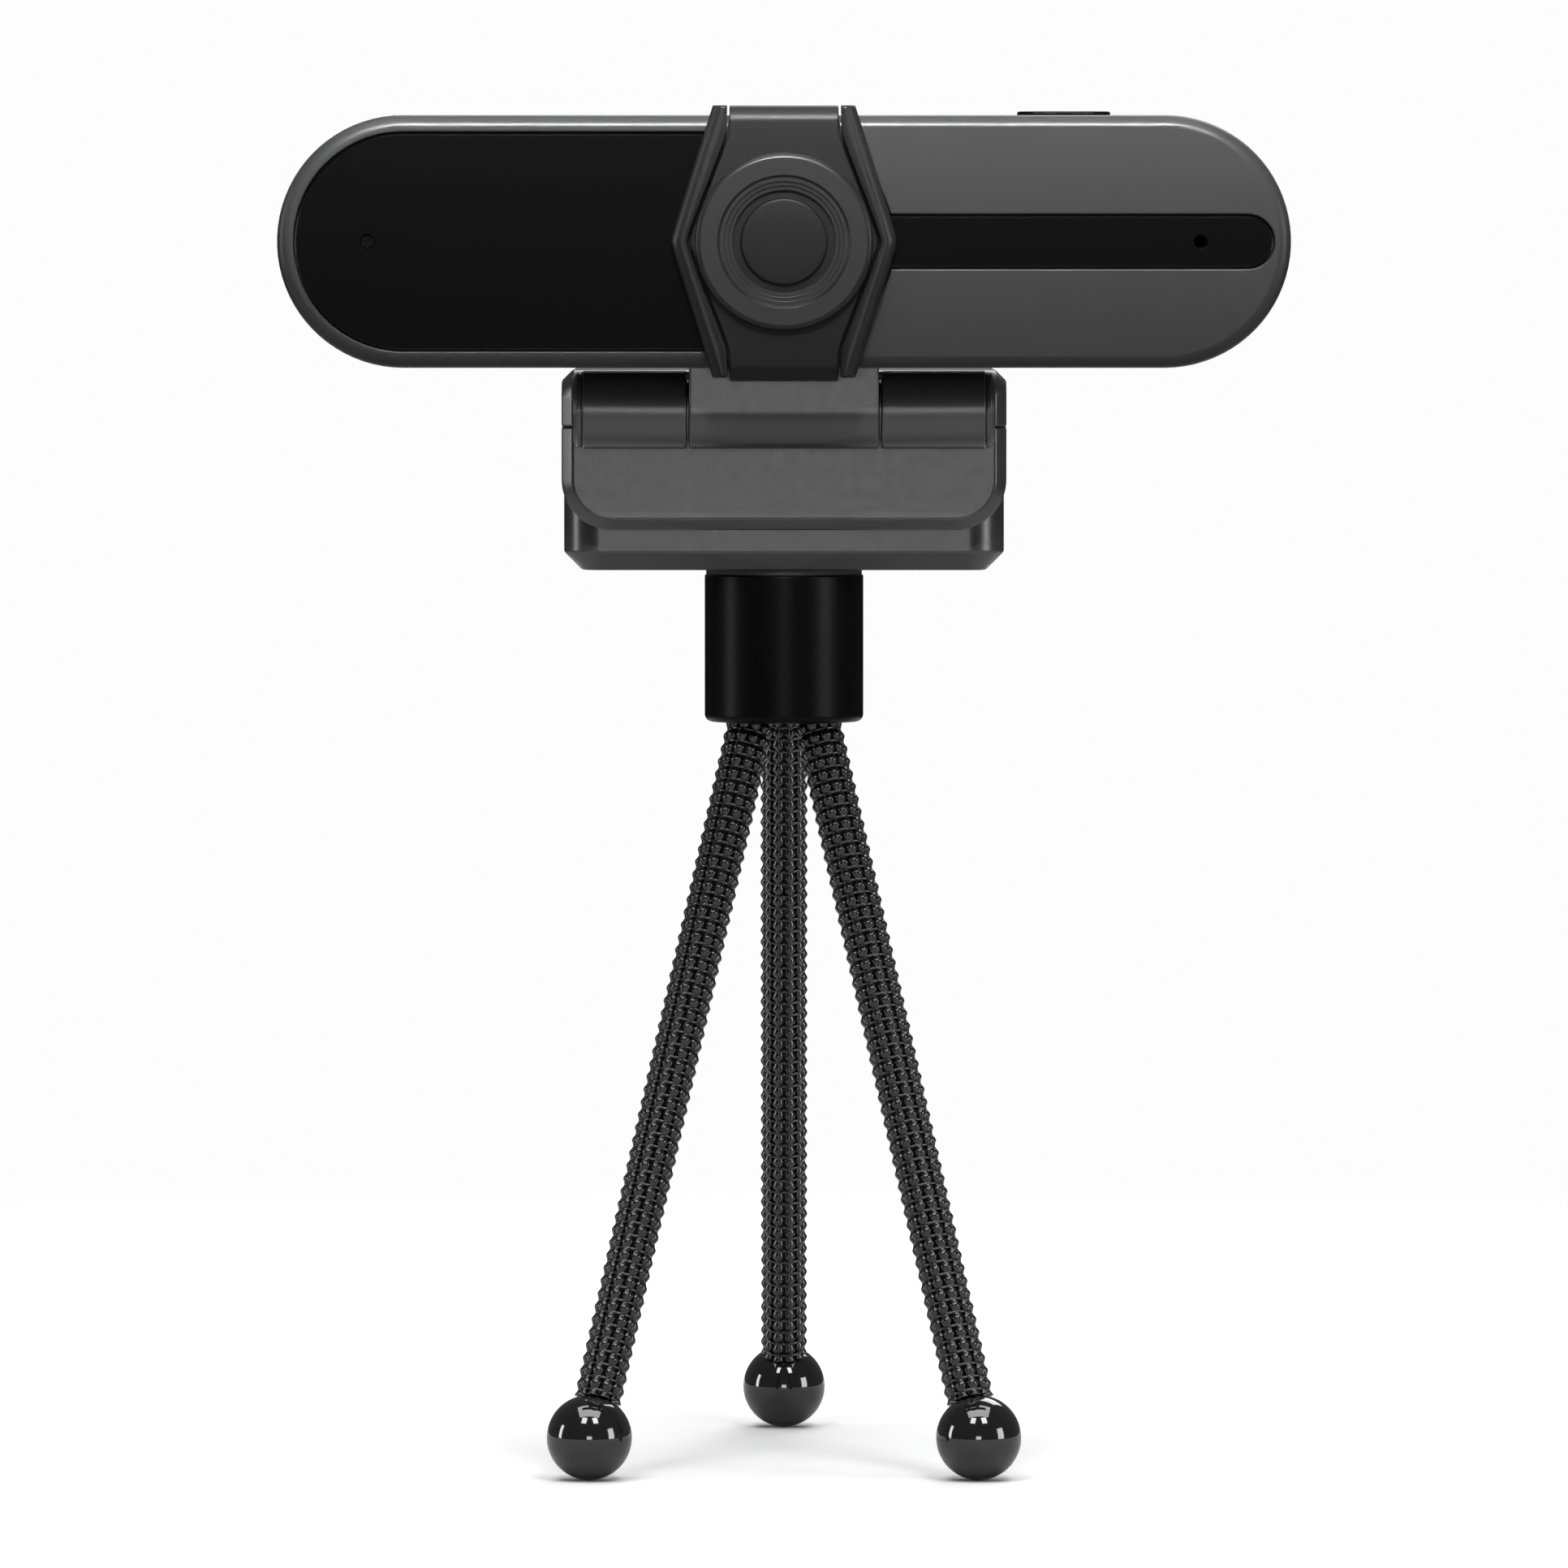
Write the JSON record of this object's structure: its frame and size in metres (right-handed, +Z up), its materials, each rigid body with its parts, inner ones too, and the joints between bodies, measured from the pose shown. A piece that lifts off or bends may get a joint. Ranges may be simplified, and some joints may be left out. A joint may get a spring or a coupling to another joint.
{
  "type": "webcam on tripod",
  "caption": "Wide pill-shaped webcam with a removable round privacy cover and a tilting, folding monitor clip, on a mini tripod with bendable braided legs.",
  "frame": {"origin": "on the floor, straight below the tripod's screw", "axes": "+Z up, lens looks along -Y, +X to the right seen from the front"},
  "size_m": [0.1084, 0.079, 0.148],
  "materials": {
    "charcoal_shell": "fine satin moulding texture",
    "charcoal_clip": "semi-gloss moulded plastic, a little lighter than the shell",
    "charcoal_cover": "satin",
    "dark_strap": "fine matt",
    "black_insert": "semi-gloss",
    "bright_ring": "turned and polished",
    "window_glass": "clear, coated",
    "lens_black": "light-absorbing matt",
    "barrel_metal": "bead-blasted",
    "coated_glass": "purple and green coating",
    "filter_glass": "red reflection",
    "sensor": "chip package",
    "board_green": "solder mask",
    "led_white": "translucent",
    "clear_plastic": "frosted light guide",
    "steel": "bright",
    "brass_insert": "machined",
    "soft_rubber": "matt",
    "collar_pad": "matt disc",
    "collar_black": "satin",
    "leg_wire": "annealed wire",
    "black_braid": "braided cord with a sheen",
    "ball_gloss": "glossy"
  },
  "bodies": {
    "tripod": {"tripod_collar": "collar_black", "head_pad": "collar_pad", "tripod_stud": "steel", "leg_plate": "collar_black", "leg_stubs": "leg_wire"},
    "foot": {"foot_shell": "charcoal_clip", "foot_pad": "soft_rubber", "thread_insert": "brass_insert", "foot_screws": "steel", "fold_pin": "steel", "fold_caps": "charcoal_clip"},
    "panel": {"clip_bracket": "charcoal_clip", "lip_pad": "soft_rubber", "tilt_pin": "steel", "tilt_caps": "charcoal_clip", "tilt_washers": "steel", "clip_panel": "charcoal_clip", "panel_pad": "soft_rubber", "panel_screws": "steel"},
    "camera": {"front_bezel": "charcoal_shell", "front_insert": "black_insert", "lens_ring": "bright_ring", "lens_window": "window_glass", "lens_faceplate": "lens_black", "lens_barrel": "barrel_metal", "lens_hood": "lens_black", "front_element": "coated_glass", "rear_element": "coated_glass", "lens_holder": "lens_black", "ir_filter": "filter_glass", "image_sensor": "sensor", "main_board": "board_green", "board_screws": "steel", "microphone": "lens_black", "mic_gasket": "soft_rubber", "status_led": "led_white", "light_pipe": "clear_plastic", "button_switch": "lens_black", "rear_shell": "charcoal_shell", "neck": "charcoal_clip", "neck_screws": "steel", "cable_gland": "soft_rubber"},
    "button": {"top_button": "black_insert"},
    "cover": {"cover_frame": "charcoal_cover", "cover_strap": "dark_strap", "cover_ring": "charcoal_cover", "cover_cap": "dark_strap"},
    "leg_left_upper": {"core_upper_left": "leg_wire", "sleeve_left": "black_braid"},
    "leg_left_lower": {"core_lower_left": "leg_wire", "ball_left": "ball_gloss"},
    "leg_right_upper": {"core_upper_right": "leg_wire", "sleeve_right": "black_braid"},
    "leg_right_lower": {"core_lower_right": "leg_wire", "ball_right": "ball_gloss"},
    "leg_rear_upper": {"core_upper_rear": "leg_wire", "sleeve_rear": "black_braid"},
    "leg_rear_lower": {"core_lower_rear": "leg_wire", "ball_rear": "ball_gloss"}
  },
  "joints": [
    {"name": "pan", "type": "hinge", "parent": "tripod", "child": "foot", "pos_m": [0, 0, 0.0977], "axis": [0, 0, 1], "range_deg": [-180, 180]},
    {"name": "clip_fold", "type": "hinge", "parent": "foot", "child": "panel", "pos_m": [0, 0.0245, 0.1075], "axis": [-1, 0, 0], "range_deg": [0, 120]},
    {"name": "camera_tilt", "type": "hinge", "parent": "panel", "child": "camera", "pos_m": [0, -0.0245, 0.1154], "axis": [1, 0, 0], "range_deg": [-20, 90]},
    {"name": "cover_pull", "type": "slide", "parent": "camera", "child": "cover", "axis": [0, -1, 0], "range_m": [0, 0.03]},
    {"name": "button_press", "type": "slide", "parent": "camera", "child": "button", "axis": [0, 0, -1], "range_m": [0, 0.0004], "stiffness_N_per_m": 1500},
    {"name": "leg_left_splay", "type": "hinge", "parent": "tripod", "child": "leg_left_upper", "pos_m": [-0.00431, -0.00309, 0.07793], "axis": [-0.825, 0.5652, 0], "range_deg": [-12, 40], "deforming": ["sleeve_left"]},
    {"name": "leg_left_bend", "type": "hinge", "parent": "leg_left_upper", "child": "leg_left_lower", "pos_m": [-0.01232, -0.01477, 0.04275], "axis": [-0.825, 0.5652, 0], "range_deg": [-15, 60], "deforming": ["sleeve_left"]},
    {"name": "leg_right_splay", "type": "hinge", "parent": "tripod", "child": "leg_right_upper", "pos_m": [0.00431, -0.00309, 0.07793], "axis": [-0.825, -0.5652, 0], "range_deg": [-12, 40], "deforming": ["sleeve_right"]},
    {"name": "leg_right_bend", "type": "hinge", "parent": "leg_right_upper", "child": "leg_right_lower", "pos_m": [0.01232, -0.01477, 0.04275], "axis": [-0.825, -0.5652, 0], "range_deg": [-15, 60], "deforming": ["sleeve_right"]},
    {"name": "leg_rear_splay", "type": "hinge", "parent": "tripod", "child": "leg_rear_upper", "pos_m": [0, 0.00539, 0.07793], "axis": [1, 0, 0], "range_deg": [-12, 40], "deforming": ["sleeve_rear"]},
    {"name": "leg_rear_bend", "type": "hinge", "parent": "leg_rear_upper", "child": "leg_rear_lower", "pos_m": [0, 0.01956, 0.04275], "axis": [1, 0, 0], "range_deg": [-15, 60], "deforming": ["sleeve_rear"]}
  ]
}
